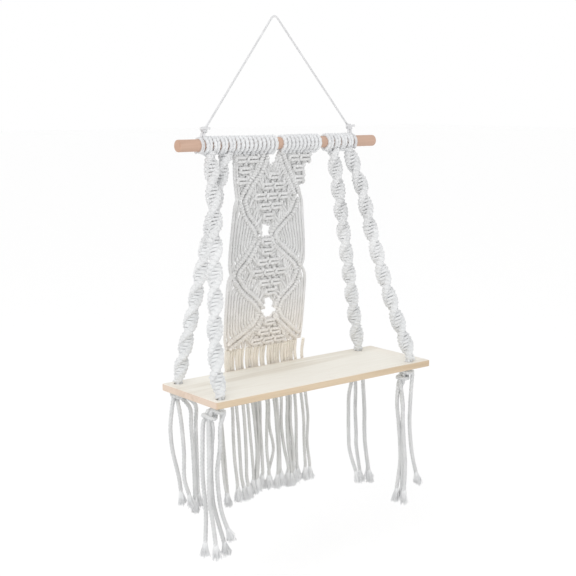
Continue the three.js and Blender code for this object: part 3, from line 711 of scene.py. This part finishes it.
# The panel's right edge is drawn in under its last mounting loops
DRAWN_IN = {"from": 34, "share": 0.14}
panel_heads = []
for group in ("panel_left", "panel_right"):
    places = turn_places(group, PANEL_TURNS)
    for k in range(0, PANEL_TURNS, 2):
        ends = [(x - DRAWN_IN["share"] * max(0, x - DRAWN_IN["from"]), 1, -202.5)
                for x in (places[k] + 0.8, places[k + 1] - 0.8)]
        panel_heads.append(larks_head(places[k], places[k + 1], ends, radius=ROUND["panel"]))
hitches = [hitch_band(line, offset) for line in lines.values() for offset in (-HITCH_ASIDE, HITCH_ASIDE)]
square_knots = [
    path for z, middle, count in KNOT_ROWS for k in range(count)
    for path in square_knot(middle + (k - (count - 1) / 2) * KNOT_PITCH, z)
]
flanks = [path for row in KNOT_ROWS for side in (-1, 1) for path in knot_flanks(row, side)]
open_cords = [path for side in SIDES for path in side_cords(*side)]
grounds = [path for polygon in GROUNDS for path in ground_cords(polygon)]
# Single cords at the top of the middle, at the left edge of the first diamond and beside the second
grounds += [[on_panel(x, 0, PANEL_TOP + 1), on_panel(x - 4.5, 0.3, -217), on_panel(x - 9, 0, -232)]
            for x in (-4, 0.5, 5)]
grounds += [[on_panel(x, 0.6, PANEL_TOP + 2), on_panel(x + 1, 0.6, -235), on_panel(x + 7, 0.6, -272),
             on_panel(x + 6, 0.6, -288)] for x in (-88, -83.5)]
grounds += [[on_panel(x - 3, 0.6, -370), on_panel(x, 0.6, -390), on_panel(x - 4, 0.6, -410)] for x in (-87, -82.5)]
for name, paths, radius, material in (
    ("panel_mounting_loops", panel_heads, RADIUS["panel_loop"], cotton),
    ("panel_hitches", hitches, RADIUS["hitch"], panel_cotton_painted_shade_and_light),
    ("panel_square_knots", square_knots, RADIUS["square_knot"], panel_cotton_painted_shade_and_light),
    ("panel_knot_flanks", flanks, RADIUS["flank"], panel_cotton_painted_shade_and_light),
    ("panel_side_cords", open_cords, RADIUS["open_cord"], panel_cotton_painted_shade_and_light),
    ("panel_ground_cords", grounds, RADIUS["ground"], panel_cotton_painted_shade_and_light),
):
    piece = lay_cords(name, paths, radius, material, step=1.8)
    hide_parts("panel")


# The panel's loose ends

fringe_paths = []
fringe_tips = []
root_y = (PANEL_TOP + 507.6) * LEAN
hidden = [
    ((a[0] + b[0]) / 2, tuple(x + 1 for x in a[1]), (a[2][0] + 1, a[2][1] + 5))
    for a, b in zip(LOOSE_ENDS, LOOSE_ENDS[1:]) if GAPS_FILLED[0] < b[0] - a[0] < GAPS_FILLED[1]
]
for k, (root, sways, tip) in enumerate(LOOSE_ENDS + hidden):
    y = FRINGE_DEPTH + (2.6 if k % 2 else 0) + (0.8 if k >= len(LOOSE_ENDS) else 0)
    high, middle, low = FRINGE_ROOTS
    path = [(root, root_y, high), (root + 1, y, middle), ((root + sways[0]) / 2, y, low)]
    path += [(x, y, z) for x, z in zip(sways, FRINGE_HEIGHTS)]
    path.append(frayed_from(Vector(path[-1]), Vector((tip[0], y, tip[1])), 17))
    fringe_paths.append(path)
    fringe_tips.append((path[-1], Vector(path[-1]) - Vector(path[-2])))
fringe = lay_cords("panel_fringe_cords", fringe_paths, RADIUS["fringe"], fringe_cotton_painted_light)
fringe_frays = lay_cords("panel_fringe_frays", frays(fringe_tips, spread=5.4, length=22, count=84, seed=5),
                         RADIUS["fibre"], frayed_cotton, step=6, section=fibre)
fringe_brushes = lay_cords("panel_fringe_brushes", brushes(fringe_tips, 10), RADIUS["fringe_brush"], frayed_cotton,
                           lay=40, taper=-0.5)
for piece in (fringe, fringe_frays, fringe_brushes):
    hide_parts("panel_fringe")


# The tassels

# How far the bundle's cords lie from its middle line, and how far the cord that goes round it, across and up
BUNDLED = 3.7
GOES_ROUND = (7.6, 6.8)


def bundle_middle(hole, lie, drop):
    """The middle line of the bundle, which leaves the hole sideways and bends down."""
    places = []
    for share in (0, 0.17, 0.33, 0.5, 0.67, 0.83, 1):
        bent = share * math.pi / 2
        places.append(hole + OVER * lie * math.sin(bent) - Vector((0, 0, 4.6 + drop * (1 - math.cos(bent)))))
    return places


def tassel_paths(corner):
    """The four ends: three leave the hole as a twisted bundle, which the fourth goes round."""
    hole = Vector((*hole_of(corner), BOARD["top"] - BOARD["thickness"]))
    lie, drop = LIES[corner]
    ends = sorted(CORNERS[corner]["ends"], key=lambda end: Vector((end[1][0], end[0], 0)).dot(OVER))
    tilted = (OVER * drop + Vector((0, 0, lie))).normalized()
    middle = bundle_middle(hole, lie, drop)
    paths, tips = [], []
    for k, (back, sways, tip) in enumerate(ends):
        path = [hole + Vector((*in_hole(k), 1))]
        reach = Vector((sways[0], back, 0)).dot(OVER)
        if k:
            for level, place in enumerate(middle):
                if level < 3 or (place - hole).dot(OVER) < reach + 7:
                    angle = math.pi / 2 + 2.1 * (k - 3) + 0.75 * (level - 6)
                    path.append(place + ACROSS * BUNDLED * math.cos(angle) + tilted * BUNDLED * math.sin(angle))
        else:
            path.append(middle[2])
            for level in range(11):
                angle = 1.2 + 0.98 * level
                place = middle[4].lerp(middle[0], level / 10)
                path.append(place + ACROSS * GOES_ROUND[0] * math.cos(angle)
                            + tilted * GOES_ROUND[1] * math.sin(angle))
        falls = [hole + Vector((x, back, z - hole.z)) for x, z in zip(sways, TASSEL_HEIGHTS)]
        path += falls[1:] if path[-1].z < falls[0].z + 14 else falls
        path.append(frayed_from(path[-1], hole + Vector((tip[0], back, tip[1] - hole.z)), 19))
        if (path[-2] - path[-1]).length < 8:
            path.pop(-2)
        paths.append(path)
        tips.append((path[-1], path[-1] - path[-2]))
    return paths, tips


for number, corner in enumerate(CORNERS):
    paths, tips = tassel_paths(corner)
    tassel = lay_cords(f"tassel_{corner}_cords", paths, RADIUS["tassel"], tassel_cotton, step=2.0)
    fibres = frays(tips, spread=5.6, length=24, count=90, seed=20 + number)
    frayed = lay_cords(f"tassel_{corner}_frays", fibres, RADIUS["fibre"], frayed_cotton, step=6, section=fibre)
    brush = lay_cords(f"tassel_{corner}_brushes", brushes(tips, 10), RADIUS["tassel_brush"], frayed_cotton, lay=40,
                      taper=-0.5)
    for piece in (tassel, frayed, brush):
        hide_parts(f"tassel_{corner}")


# The hanging cord's knots

def hanger_knot_paths(x, knot_x):
    """The turns at x, the knot above them at knot_x and its two cut tails."""
    knot_z = HANGER["knot_z"]
    tie = [(knot_x - 1.6, 0, knot_z)]
    tie += [round_dowel(x - 1.9 + 3.8 * k / 18, -160 + 40 * k, ROUND["hanger"]) for k in range(18)]
    tie.append((knot_x + 1.6, -0.5, knot_z))
    loop = []
    for k in range(15):
        angle = 2 * math.pi * k / 7
        loop.append((knot_x + 3.6 * math.cos(angle), 3.4 * math.sin(angle), knot_z + 2.8 - 0.45 * k))
    tails = [[(knot_x + side, -1.5, knot_z), (knot_x + side * 5, -3, knot_z + 1.4),
              (knot_x + side * 8.6, -3.4, knot_z + 1.2)] for side in (-1, 1)]
    end_x = HANGER["left"] if knot_x < 0 else HANGER["right"]
    rise = [(knot_x, 0, knot_z - 3), (knot_x, 0, knot_z + 1.5), (end_x, 0, HANGER["end_z"])]
    return [tie, loop, *tails, rise]


for side, x, knot_x in HANGER_KNOTS:
    knot = lay_cords(f"hanger_knot_{side}_tied", hanger_knot_paths(x, knot_x), RADIUS["hanger_knot"], thin_cotton,
                     step=1.4, lay=9, section=soft_plies)
    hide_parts(f"hanger_knot_{side}")

for made in (plies, soft_plies, fibre):
    bpy.data.objects.remove(made)


# The board and the dowel

def cylinder(name, radius, depth, place, segments, axis="Z"):
    """A round bar, upright or along X, in millimetres."""
    shape = bmesh.new()
    spin = Matrix.Rotation(math.pi / 2, 4, "Y") if axis == "X" else Matrix()
    put = Matrix.Translation((Vector(place) - Vector((0, AHEAD, 0))) * MM) @ spin
    bmesh.ops.create_cone(shape, cap_ends=True, segments=segments, radius1=radius * MM, radius2=radius * MM,
                          depth=depth * MM, matrix=put)
    mesh = bpy.data.meshes.new(name)
    shape.to_mesh(mesh)
    shape.free()
    made = bpy.data.objects.new(name, mesh)
    scene.collection.objects.link(made)
    return made


def board_mesh():
    """The board without its holes, its corners rounded and its edges eased."""
    shape = bmesh.new()
    middle = Vector((0, BOARD["back"] - BOARD["depth"] / 2 - AHEAD, BOARD["top"] - BOARD["thickness"] / 2))
    size = Vector((BOARD["length"], BOARD["depth"], BOARD["thickness"]))
    bmesh.ops.create_cube(shape, size=1, matrix=Matrix.Translation(middle * MM) @ Matrix.Diagonal((*(size * MM), 1)))
    upright = [e for e in shape.edges if abs((e.verts[0].co - e.verts[1].co).z) > 0.005]
    bmesh.ops.bevel(shape, geom=upright, offset=BOARD["corner"] * MM, segments=6, affect="EDGES", profile=0.5)
    rims = [e for e in shape.edges if len(e.link_faces) == 2 and e.calc_face_angle() > 1.2]
    bmesh.ops.bevel(shape, geom=rims, offset=0.7 * MM, segments=3, affect="EDGES", profile=0.5)
    mesh = bpy.data.meshes.new("shelf_board_planed")
    shape.to_mesh(mesh)
    shape.free()
    return mesh


def worked(made, material, sharp):
    """Works the modifiers into the piece's mesh, smooth but for edges sharper than an angle in degrees."""
    bpy.context.view_layer.update()
    mesh = bpy.data.meshes.new_from_object(made.evaluated_get(bpy.context.evaluated_depsgraph_get()))
    made.modifiers.clear()
    made.data = mesh
    mesh.materials.clear()
    mesh.materials.append(material)
    mesh.polygons.foreach_set("use_smooth", [True] * len(mesh.polygons))
    mesh.set_sharp_from_angle(angle=math.radians(sharp))


board = bpy.data.objects.new("shelf_board_planed", board_mesh())
scene.collection.objects.link(board)
drills = []
for corner in CORNERS:
    x, y = hole_of(corner)
    drills.append(cylinder(f"drill_{corner}", HOLE["radius"], 30, (x, y, BOARD["top"] - 5), 40))
for drill in drills:
    cut = board.modifiers.new(drill.name, "BOOLEAN")
    cut.operation = "DIFFERENCE"
    cut.object = drill
    cut.solver = "EXACT"
worked(board, pine, 35)
for drill in drills:
    bpy.data.objects.remove(drill)
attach(board, "root")
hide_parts("shelf_board")

dowel = cylinder("dowel_turned", DOWEL["radius"], DOWEL["length"], (DOWEL["middle"], 0, DOWEL["z"]), 48, axis="X")
eased = dowel.modifiers.new("eased", "BEVEL")
eased.width = 1.5 * MM
eased.segments = 4
eased.limit_method = "ANGLE"
eased.angle_limit = math.radians(60)
worked(dowel, rod, 40)
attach(dowel, "root")
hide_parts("dowel")


# Floor and light

floor_shape = bmesh.new()
bmesh.ops.create_grid(floor_shape, x_segments=1, y_segments=1, size=30, matrix=Matrix.Translation((0, 0, -1.0)))
floor_mesh = bpy.data.meshes.new("floor")
floor_shape.to_mesh(floor_mesh)
floor_shape.free()
floor = bpy.data.objects.new("floor", floor_mesh)
scene.collection.objects.link(floor)
paper, _, _, paper_face = shader("paper")
paper_face.inputs["Base Color"].default_value = (0.99, 0.99, 0.99, 1)
paper_face.inputs["Roughness"].default_value = 1
floor.data.materials.append(paper)

world = bpy.data.worlds.new("soft_sky")
world.use_nodes = True
sky = world.node_tree.nodes["Background"]
sky.inputs["Color"].default_value = (1, 1, 1, 1)
sky.inputs["Strength"].default_value = 1.0
scene.world = world

lamp = bpy.data.lights.new("key", "AREA")
lamp.size = 0.9
lamp.energy = 9
key_light = bpy.data.objects.new("key", lamp)
key_light.location = (-1.6, -1.2, 0.9)
key_light.rotation_euler = (Vector((0, 0, -0.4)) - key_light.location).to_track_quat("-Z", "Y").to_euler()
scene.collection.objects.link(key_light)
